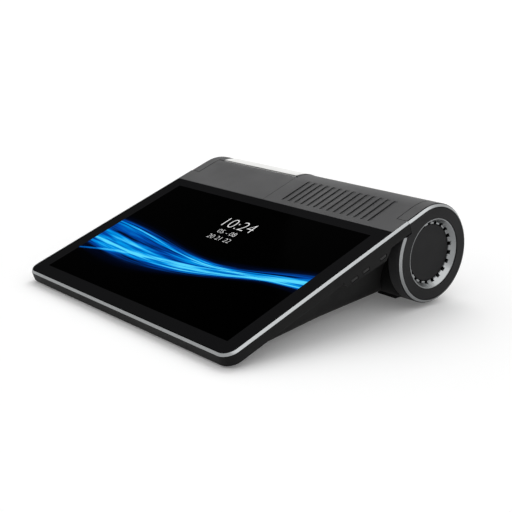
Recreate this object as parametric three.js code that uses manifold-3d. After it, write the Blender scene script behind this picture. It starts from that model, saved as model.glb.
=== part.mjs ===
// A countertop card payment terminal: a slim tilted touch display that runs into a drum with a receipt
// printer in it.
// Millimetres, +Z up, +Y to the rear, +X to the right as the user sees it.
// The origin lies on the table under the middle of the terminal.
import * as THREE from 'three';
import { mergeVertices } from 'three/addons/utils/BufferGeometryUtils.js';
import Module from 'manifold-3d';

const wasm = await Module();
wasm.setup();

const { cos, sin, tan, acos, asin, atan2, ceil, abs, hypot, PI } = Math;
const degrees = THREE.MathUtils.degToRad;

// Fits that every piece shares
const seam = 0.3;
const overrun = 2;
const turn = 2 * PI;

// Overall form
const frontLift = 8.97;
const drumRadius = 32.1;
const drumLift = 2.5;
const glassWidth = 214.2;
const glassLength = 136.6;
const coverRun = 29.6;
const armRun = 13.9;
const glassThickness = 1.5;
const cornerRadius = 7;
const slabThickness = 8.5;
const trimOut = 1.3;
const trimDrop = 1.5;
const endTrimInset = 0.4;
const endTrimDrop = 1.3;
const endTrimLip = 0.3;
const skin = 1.8;
const capWidth = 9.8;

// Derived places of the overall form
const slopeRun = glassLength + coverRun;
const capJoint = glassLength + armRun;
const drumZ = drumLift + drumRadius;
const slope = asin((drumZ - frontLift) / hypot(slopeRun, drumRadius)) + atan2(drumRadius, slopeRun);
const glassHalf = glassWidth / 2;
const bodyHalf = glassHalf + seam + trimOut;
const capInner = bodyHalf - capWidth;
const drumHalf = capInner - seam;
const slabReach = seam + trimOut;
const trimTuck = trimDrop * sin(slope);
const frontReach = (slopeRun + slabReach) * cos(slope) + drumRadius * sin(slope) - trimTuck;
const drumY = (frontReach - drumRadius) / 2;
const topAngle = PI / 2 + slope;
const frontY = drumY - drumRadius * sin(slope) - slopeRun * cos(slope);
const frontZ = frontLift;

// Finishes
function finish(color, roughness, metalness = 0) {
  return new THREE.MeshStandardMaterial({ color, roughness, metalness });
}
const coverGrey = finish(0x4c4c4d, 0.55);
const caseBlack = finish(0x262627, 0.5);
const baseBlack = finish(0x1b1b1c, 0.6);
const faceGrey = finish(0x2b2c2d, 0.5);
const blackGlass = finish(0x08090b, 0.08);
const silverTrim = finish(0xc6c9ca, 0.28, 0.9);
const whitePaper = finish(0xeeeeec, 0.9);
const rubberGrey = finish(0x202020, 0.9);
const steel = finish(0xa9abad, 0.35, 0.9);
const gearWhite = finish(0xd9d7cf, 0.5);
const boardGreen = finish(0x1f4a36, 0.6);
const cellGrey = finish(0x3b3f46, 0.5);
const brass = finish(0xb8964a, 0.35, 0.8);

// The slab's own frame: X across, Y up the slope from the glass's front edge, Z out of the glass
const terminal = new THREE.Group();
const slab = new THREE.Group();
slab.position.set(0, frontY, frontZ);
slab.rotation.x = slope;
slab.updateMatrixWorld();
// The drum's own frame: its centre on the drum's axis
const drum = new THREE.Group();
drum.position.set(0, drumY, drumZ);
terminal.add(slab, drum);

function add(parent, name, made, material) {
  const mesh = new THREE.Mesh(made.isBufferGeometry ? made : shaped(made), material);
  mesh.name = name;
  parent.add(mesh);
}

// Closed solids for joins and cuts, and back
function solid(geometry) {
  const bare = new THREE.BufferGeometry();
  bare.setAttribute('position', geometry.getAttribute('position'));
  if (geometry.index) bare.setIndex(geometry.index);
  const merged = mergeVertices(bare);
  const vertProperties = merged.getAttribute('position').array;
  const triVerts = new Uint32Array(merged.index.array);
  return new wasm.Manifold(new wasm.Mesh({ numProp: 3, vertProperties, triVerts }));
}

function shaped(body) {
  const mesh = body.getMesh();
  const geometry = new THREE.BufferGeometry();
  geometry.setAttribute('position', new THREE.BufferAttribute(mesh.vertProperties, 3));
  geometry.setIndex(new THREE.BufferAttribute(mesh.triVerts, 1));
  geometry.computeVertexNormals();
  return geometry;
}

function joined(...geometries) {
  return geometries.map(solid).reduce((all, one) => all.add(one));
}

function cutFrom(body, ...geometries) {
  return geometries.map(solid).reduce((left, one) => left.subtract(one), body);
}

// Outlines
const drumStep = degrees(6);

function onDrum(radius, angle) {
  return new THREE.Vector2(radius * cos(angle), radius * sin(angle));
}

function arc(radius, from, to, centre = new THREE.Vector2(), step = drumStep) {
  const count = Math.max(2, ceil(abs(to - from) / step));
  return Array.from({ length: count + 1 }, (_, i) => {
    return onDrum(radius, from + ((to - from) * i) / count).add(centre);
  });
}

function circle(radius, centre = new THREE.Vector2(), sides = 24) {
  return Array.from({ length: sides }, (_, i) => onDrum(radius, (turn * i) / sides).add(centre));
}

function box(left, right, low, high) {
  return [[left, low], [right, low], [right, high], [left, high]].map(([x, y]) => new THREE.Vector2(x, y));
}

// Extrusions: upward along Z, or sideways along X with the outline in the YZ plane
function upward(outline, from, to, holes = [], bevel = {}) {
  const shape = new THREE.Shape(outline);
  shape.holes = holes.map((points) => new THREE.Path(points));
  const options = { depth: to - from, bevelEnabled: false, ...bevel };
  return new THREE.ExtrudeGeometry(shape, options).translate(0, 0, from);
}

const unit = [new THREE.Vector3(1, 0, 0), new THREE.Vector3(0, 1, 0), new THREE.Vector3(0, 0, 1)];
const sideways = new THREE.Matrix4().makeBasis(unit[1], unit[2], unit[0]);

function across(outline, from, to, holes = [], bevel = {}) {
  return upward(outline, 0, to - from, holes, bevel).applyMatrix4(sideways).translate(from, 0, 0);
}

// A ring turned about the X axis from a closed profile of radius and X
function turned(profile, sides) {
  const points = [...profile, profile[0]].map(([radius, x]) => new THREE.Vector2(radius, x));
  return new THREE.LatheGeometry(points, sides).rotateZ(-PI / 2);
}

// A point of the slab in the drum's frame, by its run up the slope and its depth under the top face
function slopePoint(run, depth) {
  const along = run - slopeRun;
  const height = drumRadius - depth;
  return new THREE.Vector2(along, height).rotateAround(new THREE.Vector2(), slope);
}

function slopeBox(run0, run1, depth0, depth1) {
  return [[run0, depth0], [run1, depth0], [run1, depth1], [run0, depth1]].map((at) => slopePoint(...at));
}

function band(outer, inner, from, to) {
  return [...arc(outer, from, to), ...arc(inner, to, from)];
}

// Display slab: a rectangle with two round corners at the front
function slabOutline(half, front, rear, radius) {
  const centreLeft = new THREE.Vector2(radius - half, front + radius);
  const centreRight = new THREE.Vector2(half - radius, front + radius);
  const cornerStep = degrees(15);
  return [
    new THREE.Vector2(-half, rear),
    ...arc(radius, PI, 1.5 * PI, centreLeft, cornerStep),
    ...arc(radius, 1.5 * PI, turn, centreRight, cornerStep),
    new THREE.Vector2(half, rear),
  ];
}

function makeGlass() {
  const outline = slabOutline(glassHalf, 0, glassLength, cornerRadius);
  add(slab, 'cover_glass', upward(outline, -glassThickness, 0), blackGlass);
}

// The silver edge: a bevelled plate with the glass's place cut out, open at the rear
function makeSlabTrim() {
  const size = trimOut - endTrimLip / 2;
  const bevel = {
    bevelEnabled: true,
    bevelSegments: 1,
    bevelThickness: trimDrop,
    bevelSize: size,
    bevelOffset: -size,
  };
  const outer = slabOutline(bodyHalf, -slabReach, capJoint + trimDrop, cornerRadius + slabReach);
  const plate = solid(upward(outer, -trimDrop - overrun, -trimDrop, [], bevel));
  const inner = slabOutline(glassHalf + seam, -seam, capJoint + overrun * 2, cornerRadius + seam);
  const keep = upward(box(-glassWidth, glassWidth, -glassLength, capJoint), -trimDrop, overrun);
  const trim = plate.intersect(solid(keep));
  add(slab, 'slab_trim', cutFrom(trim, upward(inner, -trimDrop - overrun, overrun)), silverTrim);
}

// Display tray: the slab's shallow case, with two arms that run back over the drum's ends
const trayWall = 3;
const trayFloor = 1.8;
const trayRound = 1.4;
const wallTop = -trimDrop - seam;
const floorTop = trayFloor - slabThickness;
const armWidth = 13.7;
const trayOverlap = 1.4;
const trayRear = glassLength + trayOverlap;
const cableSlotWidth = 44;
const cableSlotRun = 12;
const cableSlotBack = 40.6;
const cableSlotAt = glassLength - cableSlotBack;
const keyBacks = [38.8, 28.5, 13];
const keyRuns = keyBacks.map((back) => glassLength - back);
const keyLength = 5.4;
const keyHeight = 1.6;
const keyDepth = 10;
const keyInset = 3.2;
const keyTravel = 0.5;
const podBack = 5.3;
const podLength = 42.2;
const podEnd = glassLength - podBack;
const podStart = podEnd - podLength;
const podFrontRamp = 2.5;
const podFrontDepth = 11.4;
const podRearRamp = 5.7;
const podRearDepth = 13.4;
const podWidth = 4.4;

function traySolid() {
  const bevel = {
    bevelEnabled: true,
    bevelSegments: 2,
    bevelThickness: trayRound,
    bevelSize: trayRound,
    bevelOffset: -trayRound,
  };
  const outer = slabOutline(bodyHalf, -slabReach, capJoint + overrun * 2, cornerRadius + slabReach);
  const block = solid(upward(outer, -slabThickness + trayRound, overrun, [], bevel));
  const limits = box(-glassWidth, glassWidth, -glassLength, capJoint);
  const trimmed = block.intersect(solid(upward(limits, -slabThickness, wallTop)));
  const hollowHalf = bodyHalf - trayWall;
  const hollow = slabOutline(hollowHalf, trayWall - slabReach, trayRear - trayWall, cornerRadius);
  const armHollow = (side) => box(
    Math.min(side * (bodyHalf - armWidth + trayWall), side * hollowHalf),
    Math.max(side * (bodyHalf - armWidth + trayWall), side * hollowHalf),
    trayRear - trayWall - overrun,
    capJoint - trayWall,
  );
  const notchHalf = bodyHalf - armWidth;
  const cableHalf = cableSlotWidth / 2;
  const cableSlot = box(-cableHalf, cableHalf, cableSlotAt, cableSlotAt + cableSlotRun);
  return cutFrom(
    trimmed,
    upward(hollow, floorTop, overrun),
    upward(armHollow(-1), floorTop, overrun),
    upward(armHollow(1), floorTop, overrun),
    upward(box(-notchHalf, notchHalf, trayRear, capJoint + overrun), -slabThickness - overrun, overrun),
    upward(cableSlot, -slabThickness - overrun, overrun),
  );
}

// The thicker part of the right side that holds the keys, as [run, height]
const podProfile = [
  [podStart, -slabThickness],
  [podStart + podFrontRamp, -podFrontDepth],
  [podEnd - podRearRamp, -podRearDepth],
  [podEnd, -slabThickness],
  [podEnd, trayRound - slabThickness],
  [podStart, trayRound - slabThickness],
].map((at) => new THREE.Vector2(...at));

function makeTray() {
  const pod = across(podProfile, bodyHalf - podWidth, bodyHalf);
  const pockets = keyRuns.map((run) => upward(
    box(bodyHalf - keyInset - keyTravel - seam, bodyHalf + overrun,
      run - keyLength / 2 - seam, run + keyLength / 2 + seam),
    -keyDepth - keyHeight / 2 - seam,
    -keyDepth + keyHeight / 2 + seam,
  ));
  const posts = screwSpots.map(screwPost);
  const body = posts.reduce((all, post) => all.add(post), traySolid().add(solid(pod)));
  add(slab, 'display_tray', cutFrom(body, ...screwSpots.map(screwBore), ...pockets), caseBlack);
}

const keyNames = ['power_key', 'volume_up_key', 'volume_down_key'];

function makeKeys() {
  keyNames.forEach((name, i) => {
    const run = keyRuns[i];
    const outline = box(bodyHalf - keyInset, bodyHalf, run - keyLength / 2, run + keyLength / 2);
    add(slab, name, upward(outline, -keyDepth - keyHeight / 2, -keyDepth + keyHeight / 2), caseBlack);
  });
}

// Display panel under the glass
const panelBorder = 8.1;
const panelFront = 6.6;
const panelRear = 5;
const panelThickness = 3;

function makePanel() {
  const half = glassHalf - panelBorder;
  const outline = box(-half, half, panelFront, glassLength - panelRear);
  const top = -glassThickness - seam;
  add(slab, 'display_panel', upward(outline, top - panelThickness, top), cellGrey);
}

// Wedge base: sides that lean in towards the bottom, with a soft lower edge
const baseInset = 5.2;
const baseHalf = bodyHalf - baseInset;
const baseLean = 0.442;
const baseLift = 5.6;
const baseRound = 12;
const baseWall = 2;
const baseFrontHeight = 4;
const roundSteps = 6;

function undersideAt(y) {
  return frontZ + (y - frontY) * tan(slope) - slabThickness / cos(slope);
}

function underY(z) {
  return frontY + (z + slabThickness / cos(slope) - frontZ) / tan(slope);
}

function baseSection(y, inset, top) {
  const lean = Math.atan(baseLean);
  const low = baseLift + inset;
  const roundRoomShare = 0.6;
  const radius = Math.min(baseRound - inset, (undersideAt(y) - low) * roundRoomShare);
  const side = baseHalf - inset / cos(lean);
  const centreX = side - baseLean * (undersideAt(y) - low - radius) - radius / cos(lean);
  const centre = new THREE.Vector2(centreX, low + radius);
  const round = arc(radius, -lean, -PI / 2, centre, (PI / 2 - lean) / roundSteps);
  const half = [new THREE.Vector2(side + baseLean * (top - undersideAt(y)), top), ...round];
  const mirrored = half.map((p) => new THREE.Vector2(-p.x, p.y)).reverse();
  return [...half, ...mirrored].map((p) => new THREE.Vector3(p.x, y, p.y));
}

// A closed body through convex sections that all have as many points, from front to rear
function lofted(sections) {
  const count = sections[0].length;
  const positions = sections.flat().flatMap((p) => [p.x, p.y, p.z]);
  const index = [];
  for (let s = 0; s < sections.length - 1; s += 1) {
    for (let i = 0; i < count; i += 1) {
      const a = s * count + i;
      const b = s * count + ((i + 1) % count);
      index.push(a, b, a + count, b, b + count, a + count);
    }
  }
  const last = (sections.length - 1) * count;
  for (let i = 1; i < count - 1; i += 1) {
    index.push(0, i + 1, i, last, last + i, last + i + 1);
  }
  const geometry = new THREE.BufferGeometry();
  geometry.setAttribute('position', new THREE.Float32BufferAttribute(positions, 3));
  geometry.setIndex(index);
  return geometry;
}

// Screws that hold the base to posts under the tray
const screwHeadRadius = 2.8;
const screwHeadHeight = 1.7;
const screwRadius = 1.3;
const screwLength = 12;
const postRadius = 3.4;
const screwFront = { inset: 41.5, back: 102.1 };
const screwRear = { inset: 65.5, back: 44.1 };
const screwSpots = [screwFront, screwRear].flatMap(({ inset, back }) => {
  const x = baseHalf - inset;
  const y = drumY - back;
  return [[-x, y], [x, y]];
});

function upright(radius, from, to, [x, y]) {
  return upward(circle(radius, new THREE.Vector2(x, y), 16), from, to);
}

function inSlab(geometry) {
  return geometry.clone().applyMatrix4(slab.matrixWorld.clone().invert());
}

function screwPost([x, y]) {
  const low = baseLift + baseWall + seam;
  const top = undersideAt(y) + trayFloor / 2;
  return solid(inSlab(upright(postRadius, low, top, [x, y])));
}

function screwBore([x, y]) {
  const top = baseLift + screwHeadHeight + screwLength;
  return inSlab(upright(screwRadius + seam, baseLift, top, [x, y]));
}

// The card reader's mouth comes out through the left wall of the base
const readerBack = 60.6;
const readerStart = glassLength - readerBack;
const readerLength = 60;
const readerDepth = 6;
const readerReach = 50;
const mouthWall = 2;
const cardSlotLength = 55;
const cardSlotHeight = 1.6;

const mouthLeft = trayRound - bodyHalf;
const wallReach = baseWall / cos(Math.atan(baseLean)) + baseLean * (readerDepth + seam);
const mouthRight = wallReach + seam - baseHalf;

function mouthBox(grow) {
  const run0 = readerStart - grow;
  const run1 = readerStart + readerLength + grow;
  const outline = box(mouthLeft - grow, mouthRight + grow, run0, run1);
  return upward(outline, -slabThickness - seam - readerDepth - grow, -slabThickness - seam + grow);
}

const drumCentre = new THREE.Vector2(drumY, drumZ);
const drumSpace = across(circle(drumRadius + seam, drumCentre, 72), -bodyHalf, bodyHalf);

function makeBase() {
  const full = underY(baseLift + baseRound * 2);
  const stations = (start) => [start, full, drumY];
  const start = underY(baseLift + baseFrontHeight);
  const outer = solid(lofted(stations(start).map((y) => baseSection(y, 0, undersideAt(y) - seam))));
  const inner = stations(underY(baseLift + baseWall + baseFrontHeight) + baseWall)
    .map((y) => baseSection(y, baseWall, undersideAt(y) + overrun));
  const mouth = mouthBox(seam).applyMatrix4(slab.matrixWorld);
  const recess = baseLift + screwHeadHeight / 2;
  const heads = screwSpots.map((at) => upright(screwHeadRadius + seam, 0, recess, at));
  const shanks = screwSpots.map((at) => upright(screwRadius + seam, 0, baseLift + baseWall + overrun, at));
  const hollow = cutFrom(outer, lofted(inner), drumSpace, mouth, ...heads, ...shanks);
  add(terminal, 'base_shell', hollow, baseBlack);
  screwSpots.forEach((at, i) => {
    const top = recess - seam;
    const head = upright(screwHeadRadius, top - screwHeadHeight, top, at);
    const shank = upright(screwRadius, top - screwHeadHeight / 2, top + screwLength, at);
    add(terminal, `base_screw_${i + 1}`, joined(head, shank), steel);
  });
}

// Feet: a pad under each end of the slab's front edge and one under each end of the drum
const frontFootWidth = 34;
const frontFootStart = 3;
const frontFootRun = 9;
const frontFootInset = 30.7;
const rearFootWidth = 16;
const rearFootRun = 13;
const rearFootInset = 22.6;

function makeFeet() {
  const bottomOf = (run) => {
    const at = slopePoint(run, slabThickness + seam);
    return new THREE.Vector2(at.x + drumY, at.y + drumZ);
  };
  const front = bottomOf(frontFootStart);
  const rear = bottomOf(frontFootStart + frontFootRun);
  const wedge = [front, rear, new THREE.Vector2(rear.x, 0), new THREE.Vector2(front.x, 0)];
  const run = rearFootRun / 2;
  const pad = box(drumY - run, drumY + run, 0, drumZ);
  [['left', -1], ['right', 1]].forEach(([side, sign]) => {
    const frontLeft = sign * (bodyHalf - frontFootInset) - frontFootWidth / 2;
    add(terminal, `front_foot_${side}`, across(wedge, frontLeft, frontLeft + frontFootWidth), rubberGrey);
    const rearLeft = sign * (drumHalf - rearFootInset) - rearFootWidth / 2;
    const block = solid(across(pad, rearLeft, rearLeft + rearFootWidth));
    add(terminal, `rear_foot_${side}`, lowPart(cutFrom(block, drumSpace)), rubberGrey);
  });
}

// Keeps what lies under the drum's axis, so that a cut pad is one body
function lowPart(body) {
  const footprint = box(-bodyHalf, bodyHalf, -frontReach, frontReach);
  return body.intersect(solid(upward(footprint, 0, drumLift + overrun)));
}

// What the base holds
const boardThickness = 1.6;
const boardLift = 2.2;
const boardSideInset = 19.5;
const boardBack = 50.1;
const boardDepth = 44;
const boardRear = drumY - boardBack;
const boardFront = boardRear - boardDepth;
const mainBoard = { left: 6, right: baseHalf - boardSideInset, front: boardFront, rear: boardRear };
const boardPegRadius = 2.4;
const shieldHeight = 3;
const shieldSize = 26;
const batterySideInset = 47.5;
const batteryDepth = 40;
const batteryRear = boardFront + batteryDepth;
const batteryLeft = batterySideInset - baseHalf;
const battery = { left: batteryLeft, right: -2, front: boardFront, rear: batteryRear, height: 9 };

function makeElectronics() {
  const floor = baseLift + baseWall + seam;
  const { left, right, front, rear } = mainBoard;
  const plate = upward(box(left, right, front, rear), floor + boardLift, floor + boardLift + boardThickness);
  const pegs = [[left, front], [right, front], [left, rear], [right, rear]].map(([x, y]) => {
    const inward = new THREE.Vector2(Math.sign(left + right - 2 * x), Math.sign(front + rear - 2 * y));
    const at = inward.multiplyScalar(boardPegRadius * 2).add(new THREE.Vector2(x, y));
    return upright(boardPegRadius, floor, floor + boardLift + boardThickness / 2, at.toArray());
  });
  add(terminal, 'main_board', joined(plate, ...pegs), boardGreen);
  const top = floor + boardLift + boardThickness + seam;
  const middle = [(left + right) / 2, (front + rear) / 2];
  const can = box(middle[0] - shieldSize / 2, middle[0] + shieldSize / 2,
    middle[1] - shieldSize / 2, middle[1] + shieldSize / 2);
  add(terminal, 'shield_can', upward(can, top, top + shieldHeight), steel);
  const pack = box(battery.left, battery.right, battery.front, battery.rear);
  add(terminal, 'battery_pack', upward(pack, floor, floor + battery.height), cellGrey);
}

// Card reader under the tray's floor, with its mouth in the left side
function makeCardReader() {
  const top = -slabThickness - seam;
  const middle = readerStart + readerLength / 2;
  const slotY = [middle - cardSlotLength / 2, middle + cardSlotLength / 2];
  const slotTop = top - readerDepth / 2 + cardSlotHeight / 2;
  const slotOutline = box(mouthLeft - overrun, mouthRight + readerReach, ...slotY);
  const slot = upward(slotOutline, slotTop - cardSlotHeight, slotTop);
  add(slab, 'card_slot_bezel', cutFrom(solid(mouthBox(0)), slot), baseBlack);
  const end = mouthRight + readerReach;
  const run0 = readerStart + mouthWall;
  const run1 = readerStart + readerLength - mouthWall;
  const body = solid(upward(box(mouthRight + seam, end, run0, run1), top - readerDepth, top));
  const throat = box(mouthRight - overrun, end - mouthWall, ...slotY);
  add(slab, 'card_reader', cutFrom(body, upward(throat, slotTop - cardSlotHeight, slotTop)), steel);
}

// Drum: a shell below, a smooth cover and a grilled cover above, and a cap at each end
const hingeAngle = degrees(-15);
const knuckleRadius = 2.2;
const hingeBore = 1.3;
const pinRadius = 1;
const hingeReach = drumRadius - knuckleRadius;
const hingeGap = 0.4;
const hingeHalfAngle = (knuckleRadius + hingeGap) / drumRadius;
const shellTop = hingeAngle - hingeHalfAngle;
const shellFront = topAngle + acos((drumRadius - slabThickness - seam) / drumRadius);
const slotAngle = degrees(99.5);
const slotWidth = 0.8;
const slotHalfAngle = slotWidth / drumRadius / 2;
const ventEnd = shellTop + seam / drumRadius;

// Printer places, in the drum's frame
const paperWidth = 79.5;
const paperInset = 5.8;
const paperLeft = paperInset - drumHalf;
const paperRight = paperLeft + paperWidth;
const lidOverlap = 2;
const lidRight = paperRight + lidOverlap;
const hinge = onDrum(hingeReach, hingeAngle);
const knuckleShares = [0, 0.22, 0.36, 0.64, 0.78, 1];

function knuckleSpans(first) {
  const width = lidRight + drumHalf;
  const spans = [];
  for (let i = first; i < knuckleShares.length - 1; i += 2) {
    const from = -drumHalf + width * knuckleShares[i] + seam;
    spans.push([from, -drumHalf + width * knuckleShares[i + 1] - seam]);
  }
  return spans;
}

function knuckle([from, to], bandFrom, bandTo) {
  const web = band(drumRadius - seam, drumRadius - skin + seam, bandFrom, bandTo);
  const ring = joined(across(circle(knuckleRadius, hinge, 16), from, to), across(web, from, to));
  return cutFrom(ring, across(circle(hingeBore, hinge, 16), from - overrun, to + overrun));
}

function makeShell() {
  const start = shellFront - turn;
  const gutter = solid(across(band(drumRadius, drumRadius - skin, shellTop, start), -drumHalf, drumHalf));
  const ears = knuckleSpans(0).map((span) => knuckle(span, hingeAngle, shellTop - hingeHalfAngle));
  add(drum, 'drum_shell', ears.reduce((all, ear) => all.add(ear), gutter), caseBlack);
}

function sheet(from, endAngle) {
  return [
    slopePoint(from, 0),
    ...arc(drumRadius, topAngle, endAngle),
    ...arc(drumRadius - skin, endAngle, topAngle),
    slopePoint(from, skin),
  ];
}

const coverStart = glassLength + seam;
const coverEnd = slotAngle + slotHalfAngle;

function makeLeftCover() {
  const main = across(sheet(coverStart, coverEnd), -drumHalf, lidRight);
  const wing = across(slopeBox(coverStart, capJoint, 0, skin), -glassHalf, -drumHalf + seam);
  add(drum, 'left_cover', joined(main, wing), coverGrey);
}

// Grilled cover: a row of shallow grooves over the right half, each with a slit along its left wall
const ventPitch = 6.08;
const ventInset = 16;
const ventMargin = 13;
const ventWidth = 3.6;
const ventDrop = 0.7;
const ventRamp = 1.4;
const ventBack = 5;
const ventLength = 27.4;
const ventRun0 = glassLength + ventBack;
const ventRun1 = ventRun0 + ventLength;
const slitWidth = 0.5;
const slitBack = 9;
const slitLength = 19;
const slitRun0 = glassLength + slitBack;
const slitRun1 = slitRun0 + slitLength;
const ventFirst = lidRight + ventInset;
const ventCount = Math.floor((drumHalf - ventMargin - ventFirst) / ventPitch) + 1;
const inletInset = 54.6;
const inletSpacing = 17;
const inletX = drumHalf - inletInset;
const inletWidth = 9.2;
const inletHeight = 3.4;

function inletHole(x) {
  const half = inletHeight / 2 + seam;
  const outline = box(drumRadius - skin - overrun, drumRadius + overrun, -half, half);
  return across(outline, x - inletWidth / 2 - seam, x + inletWidth / 2 + seam);
}

// Moves a geometry of the slab's frame into the drum's
function onSlope(geometry) {
  const corner = slopePoint(0, 0);
  return geometry.rotateX(slope).translate(0, corner.x, corner.y);
}

// A shallow groove that runs out at both ends and is round at the rear, with a narrow slit along one wall
function groove(middle) {
  const half = ventWidth / 2;
  const end = arc(half, 0, PI, new THREE.Vector2(middle, ventRun1 - half), degrees(30));
  const front = [middle - half, middle + half].map((x) => new THREE.Vector2(x, ventRun0));
  const profile = [
    [ventRun0, 0],
    [ventRun0 + ventRamp, -ventDrop],
    [ventRun1 - ventRamp, -ventDrop],
    [ventRun1, 0],
    [ventRun1, overrun],
    [ventRun0, overrun],
  ].map((at) => new THREE.Vector2(...at));
  const depth = solid(onSlope(across(profile, middle - ventWidth, middle + ventWidth)));
  const slit = slopeBox(slitRun0, slitRun1, -overrun, skin + overrun);
  return solid(onSlope(upward([...front, ...end], -ventDrop - overrun, overrun * 2)))
    .intersect(depth)
    .add(solid(across(slit, middle - half, middle - half + slitWidth)));
}

function makeVentCover() {
  const left = lidRight + seam;
  const main = across(sheet(coverStart, ventEnd), left, drumHalf);
  const wing = across(slopeBox(coverStart, capJoint, 0, skin), drumHalf - seam, glassHalf);
  const grooves = Array.from({ length: ventCount }, (_, i) => groove(ventFirst + i * ventPitch));
  const grille = grooves.reduce((rest, one) => rest.subtract(one), joined(main, wing));
  const cover = cutFrom(grille, inletHole(inletX), inletHole(inletX + inletSpacing));
  add(drum, 'vent_cover', cover, coverGrey);
}

// The end profile: the drum's circle with the slab's edge running into it, and a notch for the slab
function paddle(inset, notchInset = inset) {
  const depth = slabThickness + seam + notchInset;
  const end = topAngle + acos((drumRadius - depth) / (drumRadius - inset)) - turn;
  const joint = capJoint + seam + notchInset;
  return [slopePoint(joint, depth), slopePoint(joint, inset), ...arc(drumRadius - inset, topAngle, end)];
}

// The same profile without the notch for the slab, for the trim that runs round it
function trimOutline(inset) {
  const end = topAngle + acos((drumRadius - slabThickness - seam) / drumRadius) - turn;
  return [slopePoint(capJoint + seam, inset), ...arc(drumRadius - inset, topAngle, end)];
}

const ringRadius = 22.6;
const ringLip = 0.5;
const ringDrop = 0.5;
const ringFoot = 19.5;
const discRadius = 18.3;
const discDrop = 4.1;
const discThickness = 1.6;
const capPlate = 1.6;
const drumSides = 40;

function makeEndCap(side, sign) {
  const span = (a, b) => [sign * a, sign * b].sort((p, q) => p - q);
  const shoulder = bodyHalf - trimOut - seam;
  const hole = circle(ringRadius + seam, new THREE.Vector2(), drumSides);
  const faceInset = endTrimInset + endTrimDrop + endTrimLip + seam;
  const hollow = across(paddle(skin), ...span(capInner - overrun, shoulder - capPlate));
  const walls = cutFrom(solid(across(paddle(0), ...span(capInner, shoulder))), hollow);
  const face = solid(across(paddle(faceInset, 0), ...span(shoulder - capPlate / 2, bodyHalf)));
  const opening = across(hole, ...span(capInner, bodyHalf + overrun));
  add(drum, `end_cap_${side}`, cutFrom(walls.add(face), opening), faceGrey);
}

function makeEndTrim(side, sign) {
  const bevel = {
    bevelEnabled: true,
    bevelSegments: 1,
    bevelThickness: trimOut,
    bevelSize: endTrimDrop,
    bevelOffset: -endTrimDrop,
  };
  const flat = bodyHalf - trimOut;
  const plate = solid(across(trimOutline(endTrimInset), -flat, flat, [], bevel));
  const edge = [sign * flat, sign * bodyHalf].sort((p, q) => p - q);
  const keep = solid(across(circle(slopeRun, new THREE.Vector2(), 12), ...edge));
  const beyond = [edge[0] - overrun, edge[1] + overrun];
  const width = endTrimInset + endTrimDrop + endTrimLip;
  const trim = cutFrom(
    plate.intersect(keep),
    across(trimOutline(width), ...beyond),
    across(slopeBox(glassLength, capJoint + seam + width, width, slabThickness + seam), ...beyond),
    across(slopeBox(glassLength, capJoint + seam, -overrun, slabThickness + seam), ...beyond),
  );
  add(drum, `end_trim_${side}`, trim, silverTrim);
}

// Speaker end: a silver funnel ring with a notched flat foot round a plain disc, and the driver behind them
const notchCount = 21;
const notchTurn = degrees(8);
const notchReach = 1.9;
const notchWidth = 2.6;
const driverRadius = 17;
const driverDepth = 5.2;

function notchCut(i, from, to) {
  const outline = box(discRadius - seam, discRadius + notchReach, -notchWidth / 2, notchWidth / 2);
  return across(outline, from, to).rotateX(notchTurn + (turn * i) / notchCount);
}

function makeSpeakerEnd(side, sign) {
  const face = bodyHalf - discDrop;
  const back = face - discThickness;
  const lip = bodyHalf - ringDrop;
  const funnel = [
    [ringRadius - ringLip, sign * lip],
    [ringRadius, sign * lip],
    [ringRadius, sign * back],
    [discRadius + seam, sign * back],
    [discRadius + seam, sign * face],
    [ringFoot, sign * face],
  ];
  const profile = sign > 0 ? funnel : [...funnel].reverse();
  const span = (a, b) => [sign * a, sign * b].sort((p, q) => p - q);
  const notches = Array.from({ length: notchCount }, (_, i) => notchCut(i, ...span(back - overrun, lip)));
  const ring = solid(facingOut(turned(profile, drumSides)));
  add(drum, `end_ring_${side}`, cutFrom(ring, ...notches), silverTrim);
  const disc = circle(discRadius, new THREE.Vector2(), drumSides);
  add(drum, `speaker_disc_${side}`, across(disc, ...span(back, face)), faceGrey);
  const front = back - seam;
  const driver = across(circle(driverRadius, new THREE.Vector2(), 32), ...span(front - driverDepth, front));
  add(drum, `speaker_${side}`, driver, baseBlack);
}

// Turns a closed geometry's faces out if they point in
function facingOut(geometry) {
  const made = geometry.index ? geometry.toNonIndexed() : geometry;
  const at = made.getAttribute('position').array;
  let volume = 0;
  for (let i = 0; i < at.length; i += 9) {
    const [a, b, c] = [0, 3, 6].map((k) => new THREE.Vector3(at[i + k], at[i + k + 1], at[i + k + 2]));
    volume += a.dot(b.cross(c));
  }
  if (volume > 0) return made;
  for (let i = 0; i < at.length; i += 9) {
    for (let k = 0; k < 3; k += 1) [at[i + 3 + k], at[i + 6 + k]] = [at[i + 6 + k], at[i + 3 + k]];
  }
  return made;
}

// Printer: the lid carries the platen, the frame carries the roll, head, motor and gears
const platenAngle = degrees(92);
const platenReach = 24.4;
const platenRadius = 4.4;
const shaftRadius = 1.8;
const bracketWidth = 1.2;
const bracketWrap = 1.2;
const bracketSpread = degrees(7);
const platen = onDrum(platenReach, platenAngle);

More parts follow.
